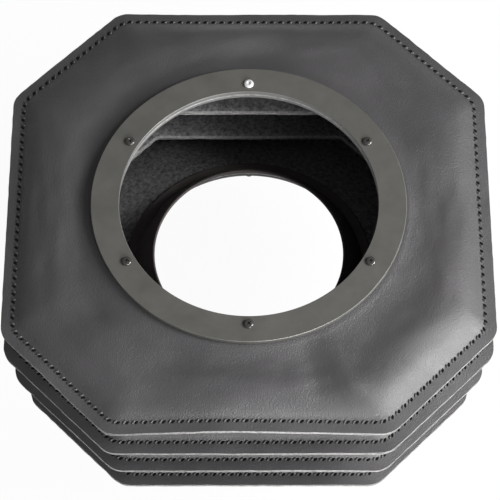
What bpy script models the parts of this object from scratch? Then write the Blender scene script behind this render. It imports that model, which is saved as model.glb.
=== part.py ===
"""Leather bellows with a metal flange ring at the top and a dished collar at the bottom.

Units are metres and +Z is up. The origin is on the bellows axis, on the surface that the
lowest lip stands on. Eight leather plies are sewn together in turn along their outer edges
(the lips) and their inner edges (the inner seams), and are clamped at both ends.
"""

import bpy
import bmesh
import math

# ---------------------------------------------------------------- driving dimensions

GAP = 0.0003                  # clearance between faces that touch on the real object
PLY = 0.0011                  # thickness of one leather ply
HEM = 2 * PLY + GAP           # thickness of two plies sewn flat together

# Outer lips: depth of the edge below the flange's upper face, and reach to a flat side.
LIP_DEPTHS = (0.0168, 0.0432, 0.0765, 0.1131)
LIP_REACHES = (0.1465, 0.1470, 0.1430, 0.1365)
LIP_HEM = 0.0066              # width of the sewn strip along a lip
LIP_DROOP = 0.0012            # how much lower a lip's edge hangs than its stitches
LIP_RADIUS = 0.0140           # rounding of the octagon's corners at a lip

# Inner seams: depth of the sewn strip below the flange's upper face, and reach of its edge.
SEAM_DEPTHS = (0.0175, 0.0435, 0.0730)
SEAM_REACH = 0.0900
SEAM_HEM = 0.0044
SEAM_RADIUS = 0.0060

CORNER_EXTRA = 0.0155         # the four cut corners stand this much further out than the sides

RING_OUTER = 0.0950           # flange ring, outer radius
RING_WIDTH = 0.0170           # flange ring, from its outer edge to its hole
RING_THICK = 0.0030
BACKING_THICK = 0.0025
BACKING_TRIM = 0.0005         # the backing ring is this much narrower at each edge
SCREW_INSET = 0.0055          # top screws' centres to the ring's hole
SCREW_COUNT = 6

COLLAR_DEPTH = 0.0850         # collar's rim flange, below the top flange's upper face
COLLAR_BORE = 0.0588          # radius of the through opening
COLLAR_WIDTH = 0.0199         # from the opening to the collar's outer edge
COLLAR_RISE = 0.0220          # how far the dished collar rises into the bellows
COLLAR_THICK = 0.0026
COLLAR_WALL = 0.0014          # thickness of the dished wall
COLLAR_BULGE = 0.0020         # how far the dished wall rounds outwards
COLLAR_FLAT = 0.0063          # width of the collar's flat flange
COLLAR_CURVE_STEPS = 6        # segments of the dished wall
CLAMP_THICK = 0.0022
CLAMP_OVERLAP = 0.0015        # the clamp ring reaches this far past the collar's flange
BASE_INSET = 0.0033           # bottom screws' centres to the collar's outer edge
BASE_BITE = 0.0016            # how deep a bottom screw goes into the collar's flange

SCREW_SHANK = 0.0015          # radius, M3
SCREW_HEAD = 0.0030           # radius of the pan head
SCREW_HEAD_HEIGHT = 0.0017
HEAD_CROWN = 0.42             # flat middle of a head, as a share of its radius
HEAD_SHOULDER = (0.80, 0.84)  # where a head starts to round over: shares of radius and height
HEAD_BROW = (0.98, 0.45)      # where a head's side is nearly upright
RECESS_WIDTH = 0.0007         # width of one slot of the cross recess
RECESS_REACH = 0.0016         # half length of one slot
RECESS_DEPTH = 0.0009
SOCKET_REACH = 0.0011         # corner radius of the hexagon socket
SCREW_FIT = 0.0003            # clearance around a shank
CUT_MARGIN = 0.0010           # how far a cutter stands past the faces it opens
TOP_TURNS = (20, 37)          # degrees: the first top screw's turn, and the step to the next
BASE_TURNS = (11, 23)         # the same for the bottom screws

THREAD = 0.0008               # thread thickness
STITCH_INSET = 0.0058         # stitches to the edge of a lip
SEAM_STITCH_INSET = 0.0036    # stitches to the edge of an inner seam

ARC_STEPS = 3                 # segments around each corner of the octagon
EDGE_STEPS = 4                # segments along each side of the octagon
RING_STEPS = 72
SCREW_STEPS = 16

# ---------------------------------------------------------------- derived sizes

RING_INNER = RING_OUTER - RING_WIDTH
SCREW_CIRCLE = RING_INNER + SCREW_INSET
COLLAR_OUTER = COLLAR_BORE + COLLAR_WIDTH
COLLAR_FLANGE_INNER = COLLAR_OUTER - COLLAR_FLAT
BASE_CIRCLE = COLLAR_OUTER - BASE_INSET
LIP_EDGE_DROP = HEM / 2 + LIP_DROOP
TOP = LIP_DEPTHS[-1] + HEM / 2            # the flange's upper face, above the ground
RING_BOTTOM = TOP - RING_THICK
CLAMPED_PLY = RING_BOTTOM - GAP           # upper side of the top ply under the flange
BACKING_TOP = CLAMPED_PLY - PLY - GAP
COLLAR_TOP = TOP - COLLAR_DEPTH
BASE_PLY = COLLAR_TOP - COLLAR_THICK - GAP
CLAMP_TOP = BASE_PLY - PLY - GAP


def lip_top(index):
    """Upper side of a lip's sewn strip, at its stitches."""
    return TOP - LIP_DEPTHS[index] + LIP_EDGE_DROP


def seam_top(index):
    """Upper side of an inner seam's sewn strip."""
    return TOP - SEAM_DEPTHS[index] + HEM / 2


# ---------------------------------------------------------------- outlines

def octagon(reach, radius):
    """Points of a rounded octagon whose sides are `reach` from the axis."""
    points = []
    for corner in range(8):
        first = math.radians(45 * corner)
        near = reach - radius
        far = reach + CORNER_EXTRA - radius
        along = near if corner % 2 == 0 else far
        other = far if corner % 2 == 0 else near
        # the arc's centre lies on both sides, each moved in by the radius
        sideways = (other - along * math.cos(math.radians(45))) / math.sin(math.radians(45))
        centre_x = along * math.cos(first) - sideways * math.sin(first)
        centre_y = along * math.sin(first) + sideways * math.cos(first)
        for step in range(ARC_STEPS + 1):
            angle = first + math.radians(45) * step / ARC_STEPS
            points.append((centre_x + radius * math.cos(angle),
                           centre_y + radius * math.sin(angle)))
    return split_sides(points)


def split_sides(corners):
    """Add points along the octagon's straight sides."""
    points = []
    arc_points = ARC_STEPS + 1
    for index, (x, y) in enumerate(corners):
        points.append((x, y))
        if index % arc_points == ARC_STEPS:
            next_x, next_y = corners[(index + 1) % len(corners)]
            for step in range(1, EDGE_STEPS):
                share = step / EDGE_STEPS
                points.append((x + (next_x - x) * share, y + (next_y - y) * share))
    return points


def circle_like(outline, radius):
    """Points on a circle, in the directions of the outline's points."""
    points = []
    for x, y in outline:
        scale = radius / math.hypot(x, y)
        points.append((x * scale, y * scale))
    return points


def circle(radius, steps):
    """Evenly spaced points on a circle."""
    angles = [2 * math.pi * step / steps for step in range(steps)]
    return [(radius * math.cos(angle), radius * math.sin(angle)) for angle in angles]


def raised(outline, height):
    """The outline's points at one height."""
    return [(x, y, height) for x, y in outline]


# ---------------------------------------------------------------- solids

def material(name, colour, roughness, metallic=0.0):
    """A Principled material."""
    result = bpy.data.materials.new(name)
    result.use_nodes = True
    shader = result.node_tree.nodes["Principled BSDF"]
    shader.inputs["Base Color"].default_value = (*colour, 1.0)
    shader.inputs["Roughness"].default_value = roughness
    shader.inputs["Metallic"].default_value = metallic
    return result


def add_object(name, mesh, finish, height=0.0):
    """Put a mesh in the scene with its origin on the axis at `height`."""
    mesh.shade_smooth()
    mesh.set_sharp_from_angle(angle=math.radians(35))
    if not mesh.materials:
        mesh.materials.append(finish)
    result = bpy.data.objects.new(name, mesh)
    result.location = (0.0, 0.0, height)
    bpy.context.collection.objects.link(result)
    return result


def band_mesh(name, loops, height=0.0):
    """A closed band through loops that go once around its section."""
    shape = bmesh.new()
    rows = []
    for loop in loops:
        rows.append([shape.verts.new((x, y, z - height)) for x, y, z in loop])
    count = len(rows[0])
    for row_index, row in enumerate(rows):
        next_row = rows[(row_index + 1) % len(rows)]
        for index in range(count):
            after = (index + 1) % count
            shape.faces.new((row[index], row[after], next_row[after], next_row[index]))
    bmesh.ops.recalc_face_normals(shape, faces=shape.faces)
    mesh = bpy.data.meshes.new(name)
    shape.to_mesh(mesh)
    shape.free()
    return mesh


def turned_mesh(name, profile, steps, height=0.0):
    """A ring turned from a closed section of (radius, z) points."""
    loops = [raised(circle(radius, steps), z) for radius, z in profile]
    return band_mesh(name, loops, height)


def spindle_mesh(name, profile, steps):
    """A solid of revolution from its top centre to its bottom centre."""
    shape = bmesh.new()
    rows = []
    for radius, z in profile:
        rows.append([shape.verts.new((x, y, z)) for x, y in circle(radius, steps)])
    for row, next_row in zip(rows, rows[1:]):
        for index in range(steps):
            after = (index + 1) % steps
            shape.faces.new((row[index], row[after], next_row[after], next_row[index]))
    shape.faces.new(rows[0])
    shape.faces.new(rows[-1])
    bmesh.ops.recalc_face_normals(shape, faces=shape.faces)
    mesh = bpy.data.meshes.new(name)
    shape.to_mesh(mesh)
    shape.free()
    return mesh


def cut_with(target, cutter):
    """Subtract a cutter that stays hidden."""
    cutter.hide_render = True
    cutter.display_type = "WIRE"
    cut = target.modifiers.new(cutter.name, "BOOLEAN")
    cut.operation = "DIFFERENCE"
    cut.solver = "EXACT"
    cut.object = cutter


def screw_holes(name, circle_radius, low, high):
    """One cutter object: a pin from `low` to `high` in every place of a screw circle."""
    radius = SCREW_SHANK + SCREW_FIT
    shape = bmesh.new()
    for x, y in screw_places(circle_radius):
        pin = bmesh.ops.create_cone(shape, cap_ends=True, segments=SCREW_STEPS, radius1=radius,
                                    radius2=radius, depth=high - low)
        bmesh.ops.translate(shape, verts=pin["verts"], vec=(x, y, (low + high) / 2))
    mesh = bpy.data.meshes.new(name)
    shape.to_mesh(mesh)
    shape.free()
    cutter = bpy.data.objects.new(name, mesh)
    bpy.context.collection.objects.link(cutter)
    return cutter


def screw_places(circle_radius):
    """Screw centres, the first one at the far side."""
    places = []
    for index in range(SCREW_COUNT):
        angle = math.radians(90) - 2 * math.pi * index / SCREW_COUNT
        places.append((circle_radius * math.cos(angle), circle_radius * math.sin(angle)))
    return places


# ---------------------------------------------------------------- leather

def add_panel(name, outer, outer_z, inner, inner_z, finish):
    """The free part of a ply between a lip and an inner seam."""
    loops = [raised(outer, outer_z), raised(inner, inner_z),
             raised(inner, inner_z - PLY), raised(outer, outer_z - PLY)]
    return add_object(name, band_mesh(name, loops, outer_z), finish, outer_z)


def add_end_panel(name, outer, outer_z, clamp_radius, hole_radius, clamp_z, finish):
    """An end ply: it runs from a lip to a clamp and on, flat, to its round hole."""
    clamp = circle_like(outer, clamp_radius)
    hole = circle_like(outer, hole_radius)
    loops = [raised(outer, outer_z), raised(clamp, clamp_z), raised(hole, clamp_z),
             raised(hole, clamp_z - PLY), raised(clamp, clamp_z - PLY),
             raised(outer, outer_z - PLY)]
    return add_object(name, band_mesh(name, loops, outer_z), finish, outer_z)


def add_lip(index, finish):
    """The two sewn hems of a lip, as one strip."""
    reach = LIP_REACHES[index]
    top = lip_top(index)
    edge = octagon(reach, LIP_RADIUS)
    start = octagon(reach - LIP_HEM, LIP_RADIUS)
    loops = [raised(edge, top - LIP_DROOP), raised(start, top),
             raised(start, top - HEM), raised(edge, top - LIP_DROOP - HEM)]
    name = f"outer_seam_{index + 1}"
    add_object(name, band_mesh(name, loops, top), finish, top)


def add_inner_seam(index, finish):
    """The two sewn hems of an inner seam, as one strip."""
    top = seam_top(index)
    edge = octagon(SEAM_REACH, SEAM_RADIUS)
    start = octagon(SEAM_REACH + SEAM_HEM, SEAM_RADIUS)
    loops = [raised(start, top), raised(edge, top),
             raised(edge, top - HEM), raised(start, top - HEM)]
    name = f"inner_seam_{index + 1}"
    add_object(name, band_mesh(name, loops, top), finish, top)


def add_thread(name, reach, radius, surface, origin, finish):
    """The seam's thread, as a plain loop lying on the sewn strip."""
    low = surface + GAP
    outer = octagon(reach + THREAD / 2, radius)
    inner = octagon(reach - THREAD / 2, radius)
    loops = [raised(outer, low), raised(outer, low + THREAD / 2),
             raised(inner, low + THREAD / 2), raised(inner, low)]
    add_object(name, band_mesh(name, loops, origin), finish, origin)


def add_leather(leather, suede, thread):
    """All plies, sewn strips and threads, from the top down."""
    lip_count = len(LIP_DEPTHS)
    lip_starts = [octagon(reach - LIP_HEM - GAP, LIP_RADIUS) for reach in LIP_REACHES]
    seam_start = octagon(SEAM_REACH + SEAM_HEM + GAP, SEAM_RADIUS)
    lower = PLY + GAP                     # from a strip's upper ply to its lower ply
    top_panel = add_end_panel("panel_1", lip_starts[0], lip_top(0), RING_OUTER + PLY,
                              RING_INNER + GAP, CLAMPED_PLY, leather)
    cut_with(top_panel, screw_holes("top_ply_holes", SCREW_CIRCLE, BACKING_TOP - CUT_MARGIN,
                                    RING_BOTTOM + CUT_MARGIN))
    for index in range(lip_count - 1):
        add_panel(f"panel_{2 * index + 2}", lip_starts[index], lip_top(index) - lower,
                  seam_start, seam_top(index), suede)
        add_panel(f"panel_{2 * index + 3}", lip_starts[index + 1], lip_top(index + 1),
                  seam_start, seam_top(index) - lower, leather)
        add_inner_seam(index, suede)
        add_thread(f"inner_thread_{index + 1}", SEAM_REACH + SEAM_STITCH_INSET, SEAM_RADIUS,
                   seam_top(index), seam_top(index), thread)
    base_panel = add_end_panel(f"panel_{2 * lip_count}", lip_starts[-1],
                               lip_top(lip_count - 1) - lower,
                               COLLAR_OUTER + CLAMP_OVERLAP + PLY, COLLAR_FLANGE_INNER, BASE_PLY,
                               suede)
    cut_with(base_panel, screw_holes("base_ply_holes", BASE_CIRCLE, CLAMP_TOP - CUT_MARGIN,
                                     BASE_PLY + CUT_MARGIN))
    for index, reach in enumerate(LIP_REACHES):
        add_lip(index, leather)
        droop = LIP_DROOP * (LIP_HEM - STITCH_INSET + THREAD / 2) / LIP_HEM
        add_thread(f"outer_thread_{index + 1}", reach - STITCH_INSET, LIP_RADIUS,
                   lip_top(index), lip_top(index) - droop, thread)


# ---------------------------------------------------------------- metal ends

def add_top_flange(metal):
    """The flange ring and the backing ring that clamp the top ply."""
    flange_section = [(RING_OUTER, TOP), (RING_INNER, TOP),
                      (RING_INNER, RING_BOTTOM), (RING_OUTER, RING_BOTTOM)]
    flange = add_object("flange_ring", turned_mesh("flange_ring", flange_section, RING_STEPS, TOP),
                        metal, TOP)
    outer = RING_OUTER - BACKING_TRIM
    inner = RING_INNER + BACKING_TRIM
    low = BACKING_TOP - BACKING_THICK
    backing_section = [(outer, BACKING_TOP), (inner, BACKING_TOP), (inner, low), (outer, low)]
    backing_mesh = turned_mesh("backing_ring", backing_section, RING_STEPS, BACKING_TOP)
    backing = add_object("backing_ring", backing_mesh, metal, BACKING_TOP)
    for ring in (flange, backing):
        cut_with(ring, screw_holes(f"{ring.name}_holes", SCREW_CIRCLE, low - CUT_MARGIN,
                                   TOP + CUT_MARGIN))


def collar_section():
    """The dished collar: a flat flange that slopes and rounds up to a thin rim at the bore."""
    rim = COLLAR_TOP + COLLAR_RISE
    low = COLLAR_TOP - COLLAR_THICK
    section = [(COLLAR_OUTER, low), (COLLAR_OUTER, COLLAR_TOP)]
    for step in range(COLLAR_CURVE_STEPS + 1):
        share = step / COLLAR_CURVE_STEPS
        bulge = COLLAR_BULGE * math.sin(math.pi * share)
        radius = COLLAR_FLANGE_INNER + (COLLAR_BORE + COLLAR_WALL - COLLAR_FLANGE_INNER) * share
        section.append((radius, COLLAR_TOP + COLLAR_RISE * share + bulge))
    section.append((COLLAR_BORE, rim))
    for step in range(COLLAR_CURVE_STEPS, -1, -1):
        share = step / COLLAR_CURVE_STEPS
        bulge = COLLAR_BULGE * math.sin(math.pi * share)
        radius = COLLAR_FLANGE_INNER + (COLLAR_BORE - COLLAR_FLANGE_INNER) * share
        section.append((radius, low + (rim - COLLAR_WALL - low) * share + bulge))
    return section


def add_base(collar_finish, metal):
    """The dished collar inside the last ply and the clamp ring below it."""
    collar = add_object("bottom_collar",
                        turned_mesh("bottom_collar", collar_section(), RING_STEPS, COLLAR_TOP),
                        collar_finish, COLLAR_TOP)
    outer = COLLAR_OUTER + CLAMP_OVERLAP
    inner = COLLAR_FLANGE_INNER
    low = CLAMP_TOP - CLAMP_THICK
    clamp_section = [(outer, CLAMP_TOP), (inner, CLAMP_TOP), (inner, low), (outer, low)]
    clamp_mesh = turned_mesh("clamp_ring", clamp_section, RING_STEPS, CLAMP_TOP)
    clamp = add_object("clamp_ring", clamp_mesh, metal, CLAMP_TOP)
    cut_with(clamp, screw_holes("clamp_ring_holes", BASE_CIRCLE, low - CUT_MARGIN,
                                CLAMP_TOP + CUT_MARGIN))
    flange_low = COLLAR_TOP - COLLAR_THICK
    cut_with(collar, screw_holes("collar_holes", BASE_CIRCLE, flange_low - CUT_MARGIN,
                                 flange_low + BASE_BITE + GAP))


# ---------------------------------------------------------------- screws

def screw_mesh(name, length, hexagonal, finish):
    """A pan-head screw pointing down, its head's seat at z = 0."""
    head = SCREW_HEAD
    height = SCREW_HEAD_HEIGHT
    profile = [(head * HEAD_CROWN, height), (head * HEAD_SHOULDER[0], height * HEAD_SHOULDER[1]),
               (head * HEAD_BROW[0], height * HEAD_BROW[1]), (head, GAP), (SCREW_SHANK, GAP),
               (SCREW_SHANK, -length)]
    blank = add_object(name + "_blank", spindle_mesh(name + "_blank", profile, SCREW_STEPS), finish)
    shape = bmesh.new()
    if hexagonal:
        bmesh.ops.create_cone(shape, cap_ends=True, segments=6, radius1=SOCKET_REACH,
                              radius2=SOCKET_REACH, depth=2 * RECESS_DEPTH)
    else:
        cross_outline(shape)
    bmesh.ops.translate(shape, verts=shape.verts, vec=(0, 0, height))
    recess_mesh = bpy.data.meshes.new(name + "_recess")
    shape.to_mesh(recess_mesh)
    shape.free()
    recess = bpy.data.objects.new(name + "_recess", recess_mesh)
    bpy.context.collection.objects.link(recess)
    cut_with(blank, recess)
    bpy.context.view_layer.update()
    graph = bpy.context.evaluated_depsgraph_get()
    mesh = bpy.data.meshes.new_from_object(blank.evaluated_get(graph))
    mesh.name = name
    bpy.data.objects.remove(blank)
    bpy.data.objects.remove(recess)
    return mesh


def cross_outline(shape):
    """A plus-shaped prism, as deep above z = 0 as below."""
    arm = RECESS_REACH
    half = RECESS_WIDTH / 2
    quarter = [(arm, -half), (arm, half), (half, half)]
    corners = []
    for turn in range(4):
        for x, y in quarter:
            for _ in range(turn):
                x, y = -y, x
            corners.append((x, y))
    low = [shape.verts.new((x, y, -RECESS_DEPTH)) for x, y in corners]
    face = shape.faces.new(low)
    lifted = bmesh.ops.extrude_face_region(shape, geom=[face])
    top = [item for item in lifted["geom"] if isinstance(item, bmesh.types.BMVert)]
    bmesh.ops.translate(shape, verts=top, vec=(0, 0, 2 * RECESS_DEPTH))
    bmesh.ops.recalc_face_normals(shape, faces=shape.faces)


def add_screws(bright, dark, base_finish):
    """The screws through both clamps, each its own object."""
    top_length = TOP - BACKING_TOP + BACKING_THICK
    base_length = COLLAR_TOP - COLLAR_THICK + BASE_BITE - CLAMP_TOP + CLAMP_THICK
    cross = screw_mesh("cross_screw", top_length, False, dark)
    socket = screw_mesh("socket_screw", top_length, True, bright)
    base = screw_mesh("base_screw", base_length, False, base_finish)
    for index, (x, y) in enumerate(screw_places(SCREW_CIRCLE)):
        mesh = socket if index == 0 else cross
        screw = bpy.data.objects.new(f"flange_screw_{index + 1}", mesh)
        screw.location = (x, y, TOP)
        screw.rotation_euler = (0, 0, math.radians(TOP_TURNS[0] + TOP_TURNS[1] * index))
        bpy.context.collection.objects.link(screw)
    for index, (x, y) in enumerate(screw_places(BASE_CIRCLE)):
        screw = bpy.data.objects.new(f"base_screw_{index + 1}", base)
        screw.location = (x, y, CLAMP_TOP - CLAMP_THICK)
        screw.rotation_euler = (math.pi, 0, math.radians(BASE_TURNS[0] + BASE_TURNS[1] * index))
        bpy.context.collection.objects.link(screw)


def build():
    """Make the whole bellows."""
    for item in list(bpy.data.objects):
        bpy.data.objects.remove(item)
    leather = material("leather", (0.036, 0.034, 0.035), 0.5)
    suede = material("suede", (0.045, 0.043, 0.044), 0.95)
    thread = material("thread", (0.02, 0.02, 0.02), 0.8)
    metal = material("ring_metal", (0.09, 0.088, 0.082), 0.45, 0.6)
    bright = material("bright_steel", (0.75, 0.75, 0.76), 0.2, 1.0)
    dark = material("dark_steel", (0.06, 0.058, 0.055), 0.3, 1.0)
    collar = material("collar_black", (0.022, 0.019, 0.019), 0.7)
    add_top_flange(metal)
    add_leather(leather, suede, thread)
    add_base(collar, metal)
    add_screws(bright, dark, dark)


build()
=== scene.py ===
"""Looks of the leather bellows: leather plies, stitches, rings, screws, lights and camera."""

import math

import bmesh
import bpy
import numpy as np
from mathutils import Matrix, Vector, noise


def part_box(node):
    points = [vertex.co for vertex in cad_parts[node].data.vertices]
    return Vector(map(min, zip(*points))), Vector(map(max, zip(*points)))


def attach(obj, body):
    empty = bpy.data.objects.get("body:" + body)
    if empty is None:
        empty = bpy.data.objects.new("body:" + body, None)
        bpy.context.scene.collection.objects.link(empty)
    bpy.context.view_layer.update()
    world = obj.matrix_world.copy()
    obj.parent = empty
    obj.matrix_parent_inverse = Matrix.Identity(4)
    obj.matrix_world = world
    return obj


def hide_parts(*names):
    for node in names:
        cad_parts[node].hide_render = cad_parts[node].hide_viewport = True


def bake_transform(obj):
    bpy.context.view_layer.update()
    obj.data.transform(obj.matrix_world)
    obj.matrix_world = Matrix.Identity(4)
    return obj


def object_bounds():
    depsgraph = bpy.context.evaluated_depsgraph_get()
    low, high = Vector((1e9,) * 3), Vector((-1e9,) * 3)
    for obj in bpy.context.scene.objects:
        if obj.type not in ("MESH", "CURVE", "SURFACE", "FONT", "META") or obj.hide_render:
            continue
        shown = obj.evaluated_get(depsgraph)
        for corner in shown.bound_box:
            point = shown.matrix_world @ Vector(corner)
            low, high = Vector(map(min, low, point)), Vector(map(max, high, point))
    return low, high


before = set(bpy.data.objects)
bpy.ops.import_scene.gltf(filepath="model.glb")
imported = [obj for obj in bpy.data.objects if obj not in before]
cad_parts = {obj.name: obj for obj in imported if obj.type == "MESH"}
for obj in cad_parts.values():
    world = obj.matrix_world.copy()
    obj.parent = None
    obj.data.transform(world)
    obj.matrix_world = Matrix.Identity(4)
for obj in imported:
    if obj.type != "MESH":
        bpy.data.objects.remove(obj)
CAD_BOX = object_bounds()

# ---------------------------------------------------------------- sizes, in metres

PLY = 0.00118                 # leather thickness
HALF_STACK = 0.00063          # a ply's middle to the middle of its sewn pair
LIP_HEM = 0.0078              # sewn strip along a lip
LIP_DROOP = 0.0012            # a lip's edge hangs this much
HEM_SHARES = (0.0, 0.22, 0.5, 0.78, 1.0)
WAVE_FADE = 0.35              # share of a lip's wave lost across its hem
LIP_RADIUS = 0.0140
SEAM_HEM = 0.0044             # sewn strip along an inner seam
SEAM_DROOP = 0.0006           # an inner seam's edge hangs this much
SEAM_RADIUS = 0.0060
CORNER_EXTRA = 0.0155         # the cut corners stand this much further out than the sides
STITCH_INSET = 0.0068
SEAM_STITCH_INSET = 0.0033
STITCH_PITCH = 0.0053
SCREW_COUNT = 6
HOLE_RADIUS = 0.0017          # clearance holes for the screws
RING_WIDTH = 0.0170
RING_BEVEL = 0.00028          # broken edges of the rings
SIDES = 8
SIDE_TURN = 360 // SIDES      # degrees from one side to the next
OPENED_DROP = 0.0920          # the lowest lip hangs this much lower when fully open

ARC_STEPS = 8                 # mesh steps around a corner
SIDE_STEPS = 34               # mesh steps along a straight
SECTOR_STEPS = ARC_STEPS + SIDE_STEPS
LIP_COUNT = 4


def low_of(node):
    return Vector(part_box(node)[0])


def high_of(node):
    return Vector(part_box(node)[1])


TOP = high_of("flange_ring").z
RING_OUTER = high_of("flange_ring").x
RING_INNER = RING_OUTER - RING_WIDTH
SCREW_CIRCLE = 0.0835
BASE_CIRCLE = 0.0754
COLLAR_OUTER = high_of("bottom_collar").x
COLLAR_BORE = 0.0588
COLLAR_THICK = 0.0026
COLLAR_FLAT = 0.0063
COLLAR_WALL = 0.0014
COLLAR_BULGE = 0.0020
COLLAR_RISE = high_of("bottom_collar").z - low_of("bottom_collar").z - COLLAR_THICK
COLLAR_TOP = low_of("bottom_collar").z + COLLAR_THICK
LIP_REACHES = [high_of(f"outer_seam_{index + 1}").x for index in range(LIP_COUNT)]
LIP_MIDDLES = [(high_of(f"outer_seam_{index + 1}").z + low_of(f"outer_seam_{index + 1}").z
                + LIP_DROOP) / 2 for index in range(LIP_COUNT)]
SEAM_REACH = high_of("inner_seam_1").x - SEAM_HEM
SEAM_MIDDLES = [(high_of(f"inner_seam_{index + 1}").z + low_of(f"inner_seam_{index + 1}").z) / 2
                for index in range(LIP_COUNT - 1)]
TOP_CLAMP = (high_of("backing_ring").z + low_of("flange_ring").z) / 2
BASE_CLAMP = (high_of("clamp_ring").z + low_of("bottom_collar").z) / 2


# ---------------------------------------------------------------- materials

def new_material(name):
    result = bpy.data.materials.new(name)
    result.use_nodes = True
    nodes = result.node_tree.nodes
    return result, nodes, result.node_tree.links, nodes["Principled BSDF"]


def colour_ramp(nodes, stops):
    """A ramp through (position, grey or colour) stops."""
    ramp = nodes.new("ShaderNodeValToRGB")
    elements = ramp.color_ramp.elements
    while len(elements) < len(stops):
        elements.new(0.5)
    for element, (position, colour) in zip(elements, stops):
        if isinstance(colour, (int, float)):
            colour = (colour, colour, colour)
        element.position = position
        element.color = (*colour, 1.0)
    return ramp


def object_noise(nodes, links, scale, detail=4.0, roughness=0.55):
    """Noise over the row's own coordinates, so it runs on from piece to piece."""
    place = nodes.new("ShaderNodeTexCoord")
    result = nodes.new("ShaderNodeTexNoise")
    result.inputs["Scale"].default_value = scale
    result.inputs["Detail"].default_value = detail
    result.inputs["Roughness"].default_value = roughness
    links.new(place.outputs["Object"], result.inputs["Vector"])
    return result


def object_cells(nodes, links, scale):
    """Rounded cells over the row's own coordinates."""
    place = nodes.new("ShaderNodeTexCoord")
    result = nodes.new("ShaderNodeTexVoronoi")
    result.feature = "SMOOTH_F1"
    result.inputs["Scale"].default_value = scale
    result.inputs["Smoothness"].default_value = 0.6
    links.new(place.outputs["Object"], result.inputs["Vector"])
    return result


def chain_bump(nodes, links, height, strength, distance, before=None):
    bump = nodes.new("ShaderNodeBump")
    bump.inputs["Strength"].default_value = strength
    bump.inputs["Distance"].default_value = distance
    links.new(height, bump.inputs["Height"])
    if before is not None:
        links.new(before.outputs["Normal"], bump.inputs["Normal"])
    return bump


def grain_leather():
    """Black grain side: fine pebble, soft sheen and slow tone changes."""
    result, nodes, links, shader = new_material("leather_grain")
    tone = object_noise(nodes, links, 14.0, 3.0)
    ramp = colour_ramp(nodes, [(0.30, (0.043, 0.041, 0.043)), (0.70, (0.062, 0.059, 0.062))])
    links.new(tone.outputs["Fac"], ramp.inputs["Fac"])
    links.new(ramp.outputs["Color"], shader.inputs["Base Color"])
    gloss = object_noise(nodes, links, 40.0, 3.0)
    gloss_ramp = colour_ramp(nodes, [(0.25, 0.38), (0.75, 0.50)])
    links.new(gloss.outputs["Fac"], gloss_ramp.inputs["Fac"])
    links.new(gloss_ramp.outputs["Color"], shader.inputs["Roughness"])
    shader.inputs["Specular IOR Level"].default_value = 0.75
    pebble = object_cells(nodes, links, 1150.0)
    pores = object_noise(nodes, links, 1300.0, 3.0)
    folds = object_noise(nodes, links, 120.0, 4.0, 0.6)
    first = chain_bump(nodes, links, folds.outputs["Fac"], 0.30, 0.0006)
    second = chain_bump(nodes, links, pebble.outputs["Distance"], 0.35, 0.00018, first)
    third = chain_bump(nodes, links, pores.outputs["Fac"], 0.8, 0.00035, second)
    links.new(third.outputs["Normal"], shader.inputs["Normal"])
    return result


def suede_leather():
    """Flesh side: matte, mottled and fibrous."""
    result, nodes, links, shader = new_material("leather_suede")
    mottle = object_noise(nodes, links, 420.0, 6.0, 0.7)
    ramp = colour_ramp(nodes, [(0.36, (0.060, 0.058, 0.061)), (0.66, (0.27, 0.262, 0.268))])
    links.new(mottle.outputs["Fac"], ramp.inputs["Fac"])
    links.new(ramp.outputs["Color"], shader.inputs["Base Color"])
    shader.inputs["Roughness"].default_value = 0.95
    shader.inputs["Specular IOR Level"].default_value = 0.2
    shader.inputs["Sheen Weight"].default_value = 0.15
    shader.inputs["Sheen Roughness"].default_value = 0.5
    nap = object_noise(nodes, links, 1500.0, 6.0, 0.75)
    bump = chain_bump(nodes, links, nap.outputs["Fac"], 0.9, 0.0008)
    links.new(bump.outputs["Normal"], shader.inputs["Normal"])
    return result


def cut_edge():
    """Raw cut edge: pale grey fibres, darker in patches."""
    result, nodes, links, shader = new_material("leather_edge")
    fibre = object_noise(nodes, links, 520.0, 6.0, 0.7)
    ramp = colour_ramp(nodes, [(0.32, (0.16, 0.155, 0.155)), (0.66, (0.46, 0.455, 0.45))])
    links.new(fibre.outputs["Fac"], ramp.inputs["Fac"])
    links.new(ramp.outputs["Color"], shader.inputs["Base Color"])
    shader.inputs["Roughness"].default_value = 0.85
    bump = chain_bump(nodes, links, fibre.outputs["Fac"], 0.6, 0.0003)
    links.new(bump.outputs["Normal"], shader.inputs["Normal"])
    return result


def thread_material():
    """Waxed black thread with its twist."""
    result, nodes, links, shader = new_material("waxed_thread")
    twist = object_noise(nodes, links, 1800.0, 2.0)
    ramp = colour_ramp(nodes, [(0.3, 0.03), (0.7, 0.075)])
    links.new(twist.outputs["Fac"], ramp.inputs["Fac"])
    links.new(ramp.outputs["Color"], shader.inputs["Base Color"])
    shader.inputs["Roughness"].default_value = 0.32
    bump = chain_bump(nodes, links, twist.outputs["Fac"], 0.5, 0.0001)
    links.new(bump.outputs["Normal"], shader.inputs["Normal"])
    return result


def painted_hole_shade():
    """Painted shade: a near-black colour standing in for the shadowed inside of a stitch hole."""
    result, nodes, links, shader = new_material("stitch_hole_painted_shade")
    dark = object_noise(nodes, links, 900.0, 2.0)
    ramp = colour_ramp(nodes, [(0.3, 0.003), (0.7, 0.008)])
    links.new(dark.outputs["Fac"], ramp.inputs["Fac"])
    links.new(ramp.outputs["Color"], shader.inputs["Base Color"])
    shader.inputs["Roughness"].default_value = 0.9
    shader.inputs["Specular IOR Level"].default_value = 0.1
    return result


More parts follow.
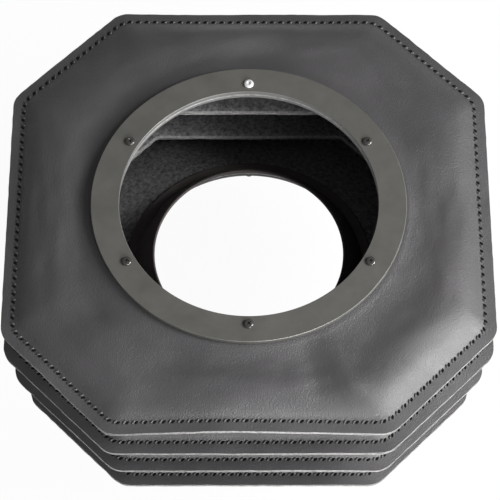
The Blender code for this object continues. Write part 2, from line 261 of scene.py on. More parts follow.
def painted_metal(name, low, high, roughness, metallic):
    """Satin metal with a faint mottle and fine surface texture."""
    result, nodes, links, shader = new_material(name)
    mottle = object_noise(nodes, links, 55.0, 5.0)
    ramp = colour_ramp(nodes, [(0.30, low), (0.70, high)])
    links.new(mottle.outputs["Fac"], ramp.inputs["Fac"])
    links.new(ramp.outputs["Color"], shader.inputs["Base Color"])
    shader.inputs["Metallic"].default_value = metallic
    wear = object_noise(nodes, links, 260.0, 4.0)
    gloss = colour_ramp(nodes, [(0.25, roughness - 0.06), (0.75, roughness + 0.06)])
    links.new(wear.outputs["Fac"], gloss.inputs["Fac"])
    links.new(gloss.outputs["Color"], shader.inputs["Roughness"])
    skin = object_noise(nodes, links, 1600.0, 3.0)
    bump = chain_bump(nodes, links, skin.outputs["Fac"], 0.25, 0.00006)
    links.new(bump.outputs["Normal"], shader.inputs["Normal"])
    return result


FLOOR_WHITE_SHARE = 0.95


def floor_material():
    """A pale floor that the camera, gloss and glass see as white."""
    result, nodes, links, shader = new_material("pale_floor")
    shader.inputs["Base Color"].default_value = (0.80, 0.80, 0.80, 1.0)
    shader.inputs["Roughness"].default_value = 0.9
    white = nodes.new("ShaderNodeEmission")
    white.inputs["Color"].default_value = (1.0, 1.0, 1.0, 1.0)
    white.inputs["Strength"].default_value = 1.0
    # a small part of the plain floor stays, so that the shadow is still faintly there
    share = nodes.new("ShaderNodeMath")
    share.operation = "MULTIPLY"
    share.inputs[1].default_value = FLOOR_WHITE_SHARE
    links.new(seen_directly(nodes, links), share.inputs[0])
    links.new(share.outputs[0], add_mix(nodes, links, shader.outputs["BSDF"],
                                        white.outputs["Emission"]))
    return result


def seen_directly(nodes, links):
    """1 for camera, glossy and transmission rays, otherwise 0."""
    rays = nodes.new("ShaderNodeLightPath")
    total = None
    for name in ("Is Camera Ray", "Is Glossy Ray", "Is Transmission Ray"):
        if total is None:
            total = rays.outputs[name]
            continue
        larger = nodes.new("ShaderNodeMath")
        larger.operation = "MAXIMUM"
        links.new(total, larger.inputs[0])
        links.new(rays.outputs[name], larger.inputs[1])
        total = larger.outputs[0]
    return total


def add_mix(nodes, links, plain, seen):
    """Show `seen` instead of `plain` where the returned factor is 1."""
    mix = nodes.new("ShaderNodeMixShader")
    links.new(plain, mix.inputs[1])
    links.new(seen, mix.inputs[2])
    output = [node for node in nodes if node.type == "OUTPUT_MATERIAL"][0]
    links.new(mix.outputs["Shader"], output.inputs["Surface"])
    return mix.inputs["Fac"]


GRAIN = grain_leather()
SUEDE = suede_leather()
EDGE = cut_edge()
THREAD = thread_material()
# painted shade for the insides of the stitch holes
HOLE_SHADE = painted_hole_shade()
RING_PAINT = painted_metal("ring_paint", (0.066, 0.065, 0.059), (0.086, 0.083, 0.076), 0.50, 0.0)
# paler metal for the rings' inner walls, and a painted highlight along their upper bevels
PALE_METAL_AND_HIGHLIGHT = painted_metal("ring_pale_wall_painted_highlight", (0.11, 0.11, 0.105), (0.17, 0.17, 0.165), 0.40, 0.2)
BRIGHT_STEEL = painted_metal("zinc_steel", (0.72, 0.72, 0.72), (0.86, 0.86, 0.86), 0.30, 0.4)
DARK_STEEL = painted_metal("blackened_steel", (0.07, 0.067, 0.062), (0.12, 0.115, 0.108), 0.24, 0.6)
COLLAR_BLACK = painted_metal("collar_moulding", (0.062, 0.050, 0.050), (0.080, 0.066, 0.066),
                             0.85, 0.0)


# ---------------------------------------------------------------- outlines

def octagon(reach, radius):
    """Points of a rounded octagon; `reach` may vary from point to point."""
    points = []
    for corner in range(SIDES):
        first = math.radians(SIDE_TURN * corner)
        near = reach - radius
        far = reach + CORNER_EXTRA - radius
        along, other = (near, far) if corner % 2 == 0 else (far, near)
        turn = math.radians(SIDE_TURN)
        sideways = (other - along * math.cos(turn)) / math.sin(turn)
        centre_x = along * math.cos(first) - sideways * math.sin(first)
        centre_y = along * math.sin(first) + sideways * math.cos(first)
        for step in range(ARC_STEPS + 1):
            angle = first + turn * step / ARC_STEPS
            points.append((centre_x + radius * math.cos(angle),
                           centre_y + radius * math.sin(angle)))
    outline = []
    for index, (x, y) in enumerate(points):
        outline.append((x, y))
        if index % (ARC_STEPS + 1) == ARC_STEPS:
            next_x, next_y = points[(index + 1) % len(points)]
            for step in range(1, SIDE_STEPS):
                share = step / SIDE_STEPS
                outline.append((x + (next_x - x) * share, y + (next_y - y) * share))
    return np.array(outline)


def circle_like(outline, radius):
    """Points on a circle, in the directions of the outline's points."""
    length = np.hypot(outline[:, 0], outline[:, 1])
    return outline * (radius / length)[:, None]


OUTLINE = octagon(LIP_REACHES[0], LIP_RADIUS)
DIRECTION = np.arctan2(OUTLINE[:, 1], OUTLINE[:, 0])


SEED_STEP = 7.31              # keeps the noise of different seeds apart
RIPPLE_GAIN = 1.6             # brings the noise to about -1 to 1


def ripple(seed, scale, angles):
    """Smooth repeatable noise around the axis, from about -1 to 1."""
    return np.array([noise.noise(Vector((math.cos(a) * scale, math.sin(a) * scale, seed * SEED_STEP)))
                     for a in angles]) * RIPPLE_GAIN


def bell(angles, centre, width):
    """A smooth rise around one direction, 1 at its centre."""
    turn = np.angle(np.exp(1j * (angles - math.radians(centre))))
    return np.exp(-(turn / math.radians(width)) ** 2)


def lip_wave(lip, angles):
    """How much a lip's edge rises and falls around the bellows."""
    wave = 0.0007 * ripple(lip + 1, 2.2, angles) + 0.00025 * ripple(lip + 21, 7.0, angles)
    if lip == 0:
        wave = wave + 0.0036 * bell(angles, 267, 17) - 0.0006 * bell(angles, 236, 9)
    if lip == 3:
        wave = wave * 0.35
    return wave


def seam_wave(seam, angles):
    """How much an inner seam rises and falls."""
    return 0.0004 * ripple(seam + 41, 2.5, angles) + 0.0001 * ripple(seam + 61, 9.0, angles)


# ---------------------------------------------------------------- leather plies

def smooth(share):
    return share * share * (3 - 2 * share)


def ply_rows(number):
    """The middle surface of ply `number`: rows of points from its outer edge inwards."""
    lip = (number - 1) // 2
    upper = number % 2 == 1
    side = 1.0 if upper else -1.0
    reach = LIP_REACHES[lip]
    wave = lip_wave(lip, DIRECTION)
    ragged = 0.00016 * ripple(number + 80, 30.0, DIRECTION)
    middle = LIP_MIDDLES[lip] + side * HALF_STACK
    rows = []
    for share in HEM_SHARES:
        inset = LIP_HEM * share
        outline = octagon(reach - inset, LIP_RADIUS)
        push = 1 + (ragged * (1 - share) / reach)
        height = middle - LIP_DROOP * (1 - share) + wave * (1 - WAVE_FADE * share)
        rows.append((outline * push[:, None], height))
    start_outline, start_height = rows[-1]
    if number == 1:
        end_outline = circle_like(start_outline, RING_OUTER + 0.0004)
        end_height = np.full(len(OUTLINE), TOP_CLAMP)
        tail = [(circle_like(start_outline, RING_OUTER - 0.004), end_height),
                (circle_like(start_outline, RING_INNER + 0.0003), end_height)]
    elif number == 2 * LIP_COUNT:
        end_outline = circle_like(start_outline, COLLAR_OUTER + 0.0016)
        end_height = np.full(len(OUTLINE), BASE_CLAMP)
        tail = [(circle_like(start_outline, COLLAR_OUTER - 0.003), end_height),
                (circle_like(start_outline, COLLAR_OUTER - COLLAR_FLAT), end_height)]
    else:
        seam = lip - 1 if upper else lip
        # at an inner seam the ply from the lip above lies on top
        stack = -1.0 if upper else 1.0
        seam_height = SEAM_MIDDLES[seam] + stack * HALF_STACK + seam_wave(seam, DIRECTION)
        end_outline = octagon(SEAM_REACH + SEAM_HEM, SEAM_RADIUS)
        end_height = seam_height
        fuzz = 0.00022 * ripple(number + 120, 34.0, DIRECTION)
        tail = []
        for share in (0.4, 0.75, 1.0):
            outline = octagon(SEAM_REACH + SEAM_HEM * (1 - share), SEAM_RADIUS)
            push = 1 + (fuzz * share / SEAM_REACH)
            tail.append((outline * push[:, None], seam_height - SEAM_DROOP * share))
    rows += free_rows(number, start_outline, start_height, end_outline, end_height)
    return rows + tail


FREE_STEPS = 22               # mesh steps between a ply's two clamped strips
BOW_SCALE = 6.75              # makes the peak of share * (1 - share) ** 2 equal to 1
# how far each ply bows away from a straight line: near its lip, and near its inner edge
BOWS = {1: (0.0046, -0.0012), 2: (-0.0020, -0.0012), 3: (0.0030, -0.0010), 4: (-0.0022, -0.0010),
        5: (0.0030, -0.0010), 6: (-0.0010, -0.0006), 7: (0.0028, -0.0012), 8: (-0.0008, -0.0006)}


# soft swells and hollows in the leather: ply, direction and width in degrees, height, and
# where they lie between the lip (0) and the ply's inner edge (1)
SOFT_DENTS = ((1, 296, 3.2, 0.0016, 0.45, 0.5), (1, 288, 3.0, -0.0012, 0.5, 0.5),
              (1, 315, 14, 0.0016, 0.35, 0.4), (1, 228, 8, 0.0016, 0.45, 0.4),
              (1, 217, 6, -0.0010, 0.5, 0.5), (1, 247, 7, -0.0010, 0.5, 0.4),
              (1, 200, 10, -0.0012, 0.3, 0.4), (1, 160, 9, 0.0012, 0.4, 0.4),
              (1, 128, 7, -0.0012, 0.4, 0.4), (1, 95, 9, 0.0011, 0.4, 0.4),
              (1, 80, 5, -0.0009, 0.3, 0.4), (1, 20, 12, 0.0012, 0.35, 0.35),
              (1, 0, 7, -0.0010, 0.5, 0.4), (1, 340, 8, 0.0010, 0.4, 0.4),
              (3, 240, 6, 0.0014, 0.2, 0.4), (5, 250, 7, 0.0015, 0.2, 0.4),
              (5, 285, 6, -0.0012, 0.3, 0.4), (7, 246, 5, 0.0014, 0.2, 0.4),
              (7, 300, 8, -0.0010, 0.3, 0.4))


def free_rows(number, start_outline, start_height, end_outline, end_height):
    """The part of a ply between its two clamped strips."""
    near_lip, near_inside = BOWS[number]
    rows = []
    for step in range(1, FREE_STEPS + 1):
        share = step / FREE_STEPS
        outline = start_outline * (1 - share) + end_outline * share
        height = start_height * (1 - share) + end_height * share
        height = height + near_lip * BOW_SCALE * share * (1 - share) ** 2
        height = height + near_inside * BOW_SCALE * share ** 2 * (1 - share)
        swell = 4 * share * (1 - share)
        height = height + swell * 0.0009 * ripple(number + 160 + 0.35 * share, 1.7, DIRECTION)
        height = height + swell * 0.0003 * ripple(number + 180 + 0.9 * share, 6.5, DIRECTION)
        for ply, turn, width, amount, place, reach in SOFT_DENTS:
            if ply == number:
                near = math.exp(-((share - place) / reach) ** 2) * swell
                height = height + amount * near * bell(DIRECTION, turn, width)
        rows.append((outline, height))
    return rows


def grid_normals(points):
    """Unit normals of a grid that is closed around its second axis, pointing up."""
    around = np.roll(points, -1, axis=1) - np.roll(points, 1, axis=1)
    inwards = np.gradient(points, axis=0)
    normal = np.cross(inwards, around)
    normal /= np.linalg.norm(normal, axis=2)[:, :, None]
    normal[normal[:, :, 2] < 0] *= -1
    return normal


def sector_mesh(name, points, normals, first, upper, pale_rim):
    """One side's part of a ply as a closed sheet, shaded as one with its neighbours."""
    count = points.shape[1]
    columns = [(first + step) % count for step in range(SECTOR_STEPS + 1)]
    middle = points[:, columns]
    normal = normals[:, columns]
    top = (middle + normal * PLY / 2).reshape(-1, 3)
    bottom = (middle - normal * PLY / 2).reshape(-1, 3)
    rows = middle.shape[0]
    width = SECTOR_STEPS + 1
    size = rows * width
    flat_normal = normal.reshape(-1, 3)
    faces = []
    slots = []
    corner_normals = []
    top_slot, bottom_slot = (0, 1) if upper else (1, 0)

    def add_face(corners, slot, shading):
        faces.append(corners)
        slots.append(slot)
        corner_normals.extend(shading)

    for row in range(rows - 1):
        for column in range(width - 1):
            a = row * width + column
            b = a + 1
            c = a + width + 1
            d = a + width
            slot = 2 if row == rows - 2 and pale_rim else top_slot
            add_face((a, b, c, d), slot, [flat_normal[i] for i in (a, b, c, d)])
            lower = (d + size, c + size, b + size, a + size)
            add_face(lower, bottom_slot, [-flat_normal[i] for i in (d, c, b, a)])
    outside = middle[0] - middle[1]
    inside = middle[-1] - middle[-2]
    for column in range(width - 1):
        a = column
        b = column + 1
        out_a, out_b = outside[a], outside[b]
        add_face((a + size, b + size, b, a), 2, [out_a, out_b, out_b, out_a])
        a += (rows - 1) * width
        b = a + 1
        in_a, in_b = inside[a % width], inside[b % width]
        add_face((a, b, b + size, a + size), 2, [in_a, in_b, in_b, in_a])
    for row in range(rows - 1):
        for column, turn in ((0, 1), (width - 1, -1)):
            a = row * width + column
            b = a + width
            side = middle[row, column] - middle[row, column + turn]
            corners = (a, b, b + size, a + size) if turn == 1 else (a + size, b + size, b, a)
            add_face(corners, 1, [side] * 4)
    mesh = bpy.data.meshes.new(name)
    mesh.from_pydata(np.vstack([top, bottom]).tolist(), [], faces)
    mesh.polygons.foreach_set("material_index", slots)
    for material in (GRAIN, SUEDE, EDGE):
        mesh.materials.append(material)
    shading = np.array(corner_normals)
    shading /= np.linalg.norm(shading, axis=1)[:, None]
    mesh.shade_smooth()
    mesh.normals_split_custom_set(shading.tolist())
    return mesh


def add_ply(number):
    """Ply `number`, from the top, as eight side pieces."""
    upper = number % 2 == 1
    if number == 1:
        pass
    elif number == 2 * LIP_COUNT:
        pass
    else:
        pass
    rows = ply_rows(number)
    points = np.array([np.column_stack([outline, height]) for outline, height in rows])
    normals = grid_normals(points)
    pieces = []
    for side in range(SIDES):
        first = (side - 1) * SECTOR_STEPS + ARC_STEPS // 2
        name = f"ply_{number}_side_{side + 1}"
        mesh = sector_mesh(name, points, normals, first, upper, number in (2, 4, 6))
        piece = bpy.data.objects.new(name, mesh)
        bpy.context.collection.objects.link(piece)
        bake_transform(piece)
        declare_sheet(points, first)
        pieces.append(piece)
    return pieces


def declare_sheet(points, first):
    """Work out the flat size of one side of a ply, measured along the leather; the result is not
    kept.
    """
    count = points.shape[1]
    columns = [(first + step) % count for step in range(SECTOR_STEPS + 1)]
    grid = points[:, columns]
    centre = grid[:, SECTOR_STEPS // 2]
    depth = float(np.linalg.norm(np.diff(centre, axis=0), axis=1).sum())
    widths = np.linalg.norm(np.diff(grid, axis=1), axis=2).sum(axis=1)
    width = float(widths.max())
    area = float((widths[0] + widths[-1]) / 2 * depth)
    area = min(area, width * depth)


# ---------------------------------------------------------------- stitches

def along_outline(outline, heights, pitch):
    """Places every `pitch` along a closed outline: (point, direction, inward)."""
    points = np.column_stack([outline, heights])
    closed = np.vstack([points, points[:1]])
    lengths = np.linalg.norm(np.diff(closed, axis=0), axis=1)
    total = lengths.sum()
    stops = np.concatenate([[0.0], np.cumsum(lengths)])
    count = int(round(total / pitch))
    places = []
    for index in range(count):
        distance = total * index / count
        segment = int(np.searchsorted(stops, distance, side="right")) - 1
        share = (distance - stops[segment]) / lengths[segment]
        here = closed[segment] * (1 - share) + closed[segment + 1] * share
        along = (closed[segment + 1] - closed[segment]) / lengths[segment]
        inward = np.array([-along[1], along[0], 0.0])
        inward /= np.linalg.norm(inward)
        places.append((here, along, inward))
    return places


POD_SIDES = 10
POD_RINGS = 5


def unit_pod():
    """Points and faces of a small ball, as a base for stitch shapes."""
    points = [(0.0, 0.0, -1.0)]
    for ring in range(1, POD_RINGS + 1):
        tilt = math.pi * ring / (POD_RINGS + 1)
        for side in range(POD_SIDES):
            angle = 2 * math.pi * side / POD_SIDES
            points.append((math.sin(tilt) * math.cos(angle), math.sin(tilt) * math.sin(angle),
                           -math.cos(tilt)))
    points.append((0.0, 0.0, 1.0))
    last = len(points) - 1
    faces = []
    for side in range(POD_SIDES):
        after = (side + 1) % POD_SIDES
        faces.append((0, 1 + after, 1 + side))
        for ring in range(POD_RINGS - 1):
            base = 1 + ring * POD_SIDES
            faces.append((base + side, base + after, base + POD_SIDES + after,
                          base + POD_SIDES + side))
        base = 1 + (POD_RINGS - 1) * POD_SIDES
        faces.append((base + side, base + after, last))
    return np.array(points), faces


POD_POINTS, POD_FACES = unit_pod()


class Pods:
    """Collects many small seed shapes for one mesh."""

    def __init__(self):
        self.points = []
        self.faces = []
        self.slots = []
        self.count = 0

    def add(self, centre, long_way, cross_way, up, size, slot):
        """One seed shape with the given half sizes along its three directions."""
        half_long, half_cross, half_up = size
        axes = np.array([long_way * half_long, cross_way * half_cross, up * half_up])
        self.points.append(centre + POD_POINTS @ axes)
        self.faces += [tuple(index + self.count for index in face) for face in POD_FACES]
        self.slots += [slot] * len(POD_FACES)
        self.count += len(POD_POINTS)

    def mesh(self, name, materials):
        result = bpy.data.meshes.new(name)
        result.from_pydata(np.vstack(self.points).tolist(), [], self.faces)
        result.polygons.foreach_set("material_index", self.slots)
        for material in materials:
            result.materials.append(material)
        result.shade_smooth()
        shape = bmesh.new()
        shape.from_mesh(result)
        bmesh.ops.recalc_face_normals(shape, faces=shape.faces)
        shape.to_mesh(result)
        shape.free()
        return result


SLANT_ALONG = 0.62            # a stitch's slant: its share along the seam
SLANT_INWARD = 0.78           # and its share across it
WOBBLE = 0.0002               # how much threads differ in place and length
HOLE_SHADE_SHIFT = 0.0007
THREAD_SHIFT = 0.0012
THREAD_INSET = 0.0001
HOLE_SHADE_SIZE = (0.00165, 0.00085, 0.00018)
THREAD_SIZE = (0.00160, 0.00070, 0.00075)
NAP_SIZE = (0.0012, 0.0005, 0.0003)


def add_stitches(name, outline, heights, half_hem, body, replaced):
    """A seam's stitches on both faces of its hem: slanted slits, drawn as small dark pods of painted
    shade, each with its thread.
    """
    pods = Pods()
    inner = body.startswith("fold")
    up = np.array([0.0, 0.0, 1.0])
    for here, along, inward in along_outline(outline, heights, STITCH_PITCH):
        wobble = noise.noise(Vector(here) * 300.0)
        for side in (1.0, -1.0):
            surface = here + up * side * half_hem
            slant = along * SLANT_ALONG + inward * SLANT_INWARD * side
            slant /= np.linalg.norm(slant)
            across = np.cross(up, slant)
            shade_spot = surface + along * HOLE_SHADE_SHIFT
            thread = surface - along * (THREAD_SHIFT + WOBBLE * wobble) + inward * THREAD_INSET
            if inner and side > 0:
                # the nap hides most of a stitch here
                pods.add(thread, slant, across, up, NAP_SIZE, 2)
                continue
            # a dark pod lying on the leather: painted shade for the inside of the stitch hole
            pods.add(shade_spot, slant, across, up, HOLE_SHADE_SIZE, 1)
            size = (THREAD_SIZE[0] + WOBBLE * wobble, *THREAD_SIZE[1:])
            pods.add(thread, slant, across, up, size, 0)
    piece = bpy.data.objects.new(name, pods.mesh(name, (THREAD, HOLE_SHADE, SUEDE)))
    bpy.context.collection.objects.link(piece)
    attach(piece, body)
    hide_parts(*replaced)


def add_all_stitches():
    for lip in range(LIP_COUNT):
        share = STITCH_INSET / LIP_HEM
        outline = octagon(LIP_REACHES[lip] - STITCH_INSET, LIP_RADIUS)
        wave = lip_wave(lip, np.arctan2(outline[:, 1], outline[:, 0]))
        heights = LIP_MIDDLES[lip] - LIP_DROOP * (1 - share) + wave * (1 - WAVE_FADE * share)
        add_stitches(f"stitches_lip_{lip + 1}", outline, heights, HALF_STACK + PLY / 2,
                     f"lip_{lip + 1}", [f"outer_thread_{lip + 1}"])
    for seam in range(LIP_COUNT - 1):
        outline = octagon(SEAM_REACH + SEAM_STITCH_INSET, SEAM_RADIUS)
        wave = seam_wave(seam, np.arctan2(outline[:, 1], outline[:, 0]))
        share = 1 - SEAM_STITCH_INSET / SEAM_HEM
        heights = SEAM_MIDDLES[seam] + wave - SEAM_DROOP * share
        add_stitches(f"stitches_fold_{seam + 1}", outline, heights, HALF_STACK + PLY / 2,
                     f"fold_{seam + 1}", [f"inner_thread_{seam + 1}"])


# ---------------------------------------------------------------- rings and collar

RING_STEPS = 192
SHARP_ANGLE = math.radians(28)
CUT_MARGIN = 0.001            # a hole's cutter stands out this much at both ends


def turned(name, section, slots=None):
    """A ring turned from a closed section, with one material slot for each stretch."""
    mesh = bpy.data.meshes.new(name)
    verts = []
    faces = []
    indices = []
    count = len(section)
    for step in range(RING_STEPS):
        angle = 2 * math.pi * step / RING_STEPS
        for radius, height in section:
            verts.append((radius * math.cos(angle), radius * math.sin(angle), height))
    for step in range(RING_STEPS):
        after = (step + 1) % RING_STEPS
        for index in range(count):
            following = (index + 1) % count
            faces.append((step * count + index, after * count + index,
                          after * count + following, step * count + following))
            indices.append(slots[index] if slots else 0)
    mesh.from_pydata(verts, [], faces)
    mesh.polygons.foreach_set("material_index", indices)
    shape = bmesh.new()
    shape.from_mesh(mesh)
    bmesh.ops.recalc_face_normals(shape, faces=shape.faces)
    shape.to_mesh(mesh)
    shape.free()
    mesh.shade_smooth()
    mesh.set_sharp_from_angle(angle=SHARP_ANGLE)
    return mesh


def screw_places(radius):
    angles = [math.radians(90) - 2 * math.pi * index / SCREW_COUNT for index in range(SCREW_COUNT)]
    return [(radius * math.cos(angle), radius * math.sin(angle)) for angle in angles]


def finish_piece(piece, body, replaced):
    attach(piece, body)
    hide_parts(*replaced)


def cut_holes(piece, circle, radius, low, high):
    """Cut the screws' clearance holes, and leave no cutter behind."""
    shape = bmesh.new()
    for x, y in screw_places(circle):
        pin = bmesh.ops.create_cone(shape, cap_ends=True, segments=32, radius1=radius,
                                    radius2=radius, depth=high - low)
        bmesh.ops.translate(shape, verts=pin["verts"], vec=(x, y, (low + high) / 2))
    mesh = bpy.data.meshes.new("cutter")
    shape.to_mesh(mesh)
    shape.free()
    cutter = bpy.data.objects.new("cutter", mesh)
    bpy.context.collection.objects.link(cutter)
    cut = piece.modifiers.new("holes", "BOOLEAN")
    cut.solver = "EXACT"
    cut.object = cutter
    bpy.context.view_layer.update()
    graph = bpy.context.evaluated_depsgraph_get()
    result = bpy.data.meshes.new_from_object(piece.evaluated_get(graph))
    piece.modifiers.clear()
    piece.data = result
    piece.data.shade_smooth()
    piece.data.set_sharp_from_angle(angle=SHARP_ANGLE)
    bpy.data.objects.remove(cutter)


def chamfered(outer, inner, high, low, bevel):
    """Section of a flat ring with broken edges, from the outer wall over the top."""
    return [(outer, low + bevel), (outer, high - bevel), (outer - bevel, high),
            (inner + bevel, high), (inner, high - bevel), (inner, low + bevel),
            (inner + bevel, low), (outer - bevel, low)]


def add_ring(name, node, body, circle, outer, inner, pale_slot):
    """A clamp ring with its screw holes; the slot given last goes on its inner wall and both upper
    bevels, where the paler metal is a painted highlight along the edges.
    """
    high = high_of(node).z
    low = low_of(node).z
    section = chamfered(outer, inner, high, low, RING_BEVEL)
    # the inner wall and both upper bevels take the last slot; on the bevels the paler metal is a
    # painted highlight
    slots = [0, pale_slot, 0, pale_slot, pale_slot, 0, 0, 0]
    mesh = turned(name, section, slots)
    mesh.materials.append(RING_PAINT)
    mesh.materials.append(PALE_METAL_AND_HIGHLIGHT)
    piece = bpy.data.objects.new(name, mesh)
    bpy.context.collection.objects.link(piece)
    cut_holes(piece, circle, HOLE_RADIUS, low - CUT_MARGIN, high + CUT_MARGIN)
    finish_piece(piece, body, [node])


def add_collar():
    """The dished collar: flat flange, sloping and rounding up to a thin rolled rim."""
    flange_inner = COLLAR_OUTER - COLLAR_FLAT
    rim = COLLAR_TOP + COLLAR_RISE
    low = COLLAR_TOP - COLLAR_THICK
    steps = 24
    soft = COLLAR_WALL / 2
    section = [(COLLAR_OUTER - 0.0004, low), (COLLAR_OUTER, low + 0.0004),
               (COLLAR_OUTER, COLLAR_TOP - 0.0007), (COLLAR_OUTER - 0.0007, COLLAR_TOP)]
    for step in range(steps + 1):
        share = step / steps
        bulge = COLLAR_BULGE * math.sin(math.pi * share)
        radius = flange_inner + (COLLAR_BORE + COLLAR_WALL - flange_inner) * share
        section.append((radius, COLLAR_TOP + (COLLAR_RISE - soft) * share + bulge))
    for step in range(1, 6):
        angle = math.radians(180) * step / 6
        section.append((COLLAR_BORE + soft + soft * math.cos(angle),
                        rim - soft + soft * math.sin(angle)))
    for step in range(steps, -1, -1):
        share = step / steps
        bulge = COLLAR_BULGE * math.sin(math.pi * share)
        radius = flange_inner + (COLLAR_BORE - flange_inner) * share
        section.append((radius, low + (rim - COLLAR_WALL - low) * share + bulge))
    mesh = turned("collar_look", section)
    mesh.materials.append(COLLAR_BLACK)
    piece = bpy.data.objects.new("collar_look", mesh)
    bpy.context.collection.objects.link(piece)
    finish_piece(piece, "bottom_end", ["bottom_collar"])


# ---------------------------------------------------------------- screws

def screw_look(name, length, hexagonal, material):
    """A pan-head screw, its seat at z = 0, with its recess cut in."""
    head = 0.0030
    height = 0.0017
    shank = 0.0015
    socket = 0.0015
    profile = []
    for step in range(9):
        angle = math.radians(90) * step / 8
        profile.append((head * (0.30 + 0.70 * math.sin(angle)),
                        height * (0.40 + 0.60 * math.cos(angle))))
    profile += [(head, 0.0004), (head - 0.0002, 0.0001), (shank, 0.0001), (shank, -length)]
    shape = bmesh.new()
    rows = []
    segments = 40
    for radius, z in profile:
        rows.append([shape.verts.new((radius * math.cos(2 * math.pi * i / segments),
                                      radius * math.sin(2 * math.pi * i / segments), z))
                     for i in range(segments)])
    for row, following in zip(rows, rows[1:]):
        for i in range(segments):
            j = (i + 1) % segments
            shape.faces.new((row[i], row[j], following[j], following[i]))
    shape.faces.new(rows[0])
    shape.faces.new(rows[-1])
    bmesh.ops.recalc_face_normals(shape, faces=shape.faces)
    mesh = bpy.data.meshes.new(name)
    shape.to_mesh(mesh)
    shape.free()
    mesh.materials.append(material)
    body = bpy.data.objects.new(name, mesh)
    bpy.context.collection.objects.link(body)
    cutter_shape = bmesh.new()
    if hexagonal:
        bmesh.ops.create_cone(cutter_shape, cap_ends=True, segments=6, radius1=socket,
                              radius2=socket, depth=0.0020)
    else:
        cross_prism(cutter_shape)
    bmesh.ops.translate(cutter_shape, verts=cutter_shape.verts, vec=(0, 0, height))
    cutter_mesh = bpy.data.meshes.new("recess")
    cutter_shape.to_mesh(cutter_mesh)
    cutter_shape.free()
    cutter = bpy.data.objects.new("recess", cutter_mesh)
    bpy.context.collection.objects.link(cutter)
    cut = body.modifiers.new("recess", "BOOLEAN")
    cut.solver = "EXACT"
    cut.object = cutter
    bpy.context.view_layer.update()
    graph = bpy.context.evaluated_depsgraph_get()
    result = bpy.data.meshes.new_from_object(body.evaluated_get(graph))
    result.name = name
    bpy.data.objects.remove(body)
    bpy.data.objects.remove(cutter)
    result.shade_smooth()
    result.set_sharp_from_angle(angle=math.radians(30))
    return result


def cross_prism(shape):
    """A tapered plus shape for a cross recess."""
    arm = 0.0020
    half = 0.00046
    corners = []
    for turn in range(4):
        for x, y in ((arm, -half), (arm, half), (half, half)):
            for _ in range(turn):
                x, y = -y, x
            corners.append((x, y))
    rows = [[shape.verts.new((x * share, y * share, z)) for x, y in corners]
            for z, share in ((-0.0011, 0.45), (0.0011, 1.15))]
    shape.faces.new(rows[0])
    shape.faces.new(rows[1])
    for i in range(len(corners)):
        j = (i + 1) % len(corners)
        shape.faces.new((rows[0][i], rows[0][j], rows[1][j], rows[1][i]))
    bmesh.ops.recalc_face_normals(shape, faces=shape.faces)


def add_screws():
    top_length = TOP - low_of("backing_ring").z
    base_seat = low_of("clamp_ring").z
    base_length = high_of("base_screw_1").z - base_seat
    cross = screw_look("cross_screw", top_length, False, DARK_STEEL)
    socket = screw_look("socket_screw", top_length, True, BRIGHT_STEEL)
    base = screw_look("base_cross_screw", base_length, False, DARK_STEEL)
    for index, (x, y) in enumerate(screw_places(SCREW_CIRCLE)):
        first = index == 0
        piece = bpy.data.objects.new(f"flange_screw_look_{index + 1}", socket if first else cross)
        piece.location = (x, y, TOP)
        piece.rotation_euler = (0, 0, math.radians(20 + 37 * index))
        bpy.context.collection.objects.link(piece)
        finish_piece(piece, "top_flange",
                     [f"flange_screw_{index + 1}"])
    for index, (x, y) in enumerate(screw_places(BASE_CIRCLE)):
        piece = bpy.data.objects.new(f"base_screw_look_{index + 1}", base)
        piece.location = (x, y, base_seat)
        piece.rotation_euler = (math.pi, 0, math.radians(11 + 23 * index))
        bpy.context.collection.objects.link(piece)
        finish_piece(piece, "bottom_end", [f"base_screw_{index + 1}"])


# ---------------------------------------------------------------- stage

FLOOR_HALF_SIZE = 6.0
WORLD_STRENGTH = 0.18
# name, place, size in metres and power in watts
LAMPS = (("key", (1.25, -0.22, 1.02), (0.8, 0.7), 40.0),
         ("front", (0.70, -1.35, 0.62), (0.9, 0.5), 30.0))
CAMERA_ELEVATION = 60.767     # degrees
CAMERA_DISTANCE = 1.41536
CAMERA_AIM = (0.00074, -0.03387)
CAMERA_LENS = 171.55          # millimetres
CAMERA_SENSOR = 36.0


def add_area(name, place, target, size, power):
    data = bpy.data.lights.new(name, "AREA")
    data.shape = "RECTANGLE"
    data.size, data.size_y = size
    data.energy = power
    lamp = bpy.data.objects.new(name, data)
    lamp.location = place
    lamp.rotation_euler = (Vector(target) - Vector(place)).to_track_quat("-Z", "Y").to_euler()
    bpy.context.collection.objects.link(lamp)


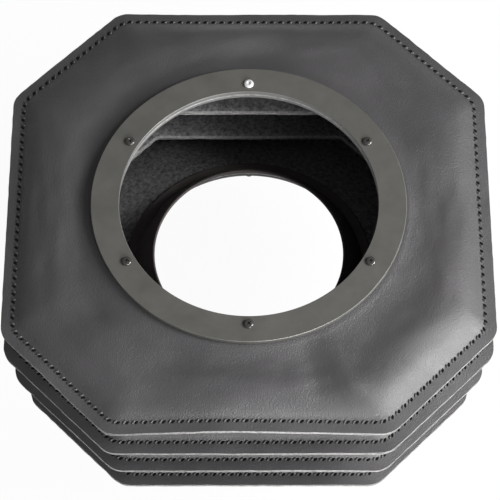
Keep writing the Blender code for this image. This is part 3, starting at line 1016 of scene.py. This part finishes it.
def add_stage():
    size = FLOOR_HALF_SIZE
    mesh = bpy.data.meshes.new("floor")
    mesh.from_pydata([(-size, -size, 0), (size, -size, 0), (size, size, 0), (-size, size, 0)], [],
                     [(0, 1, 2, 3)])
    mesh.materials.append(floor_material())
    floor = bpy.data.objects.new("floor", mesh)
    # low enough for the bellows to hang fully open above it
    floor.location.z = CAD_BOX[0][2] - OPENED_DROP
    bpy.context.collection.objects.link(floor)
    world = bpy.data.worlds.new("studio")
    bpy.context.scene.world = world
    world.use_nodes = True
    nodes = world.node_tree.nodes
    links = world.node_tree.links
    background = nodes["Background"]
    background.inputs["Color"].default_value = (1.0, 1.0, 1.0, 1.0)
    background.inputs["Strength"].default_value = WORLD_STRENGTH
    target = (0.0, 0.0, TOP)
    for name, place, lamp_size, power in LAMPS:
        add_area(name, place, target, lamp_size, power)


def add_camera():
    """The viewpoint, given around the middle of the flange ring's upper face."""
    elevation = math.radians(CAMERA_ELEVATION)
    aim = Vector((*CAMERA_AIM, TOP))
    away = Vector((0.0, -math.cos(elevation), math.sin(elevation)))
    data = bpy.data.cameras.new("camera")
    data.sensor_width = CAMERA_SENSOR
    data.lens = CAMERA_LENS
    camera = bpy.data.objects.new("camera", data)
    camera.location = aim + away * CAMERA_DISTANCE
    camera.rotation_euler = (-away).to_track_quat("-Z", "Y").to_euler()
    bpy.context.collection.objects.link(camera)
    bpy.context.scene.camera = camera


def build():
    add_camera()
    add_stage()
    scene = bpy.context.scene
    scene.view_settings.view_transform = "Standard"
    for number in range(1, 2 * LIP_COUNT + 1):
        pieces = add_ply(number)
        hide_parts(f"panel_{number}")
        lip = (number + 1) // 2
        if number % 2:
            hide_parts(f"outer_seam_{lip}")
        elif lip < LIP_COUNT:
            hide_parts(f"inner_seam_{lip}")
    add_all_stitches()
    add_ring("flange_ring_look", "flange_ring", "top_flange", SCREW_CIRCLE, RING_OUTER,
             RING_INNER, 1)
    add_ring("backing_ring_look", "backing_ring", "top_flange", SCREW_CIRCLE,
             high_of("backing_ring").x, RING_INNER + 0.0005, 1)
    add_ring("clamp_ring_look", "clamp_ring", "bottom_end", BASE_CIRCLE,
             high_of("clamp_ring").x, COLLAR_OUTER - COLLAR_FLAT, 0)
    add_collar()
    add_screws()


build()
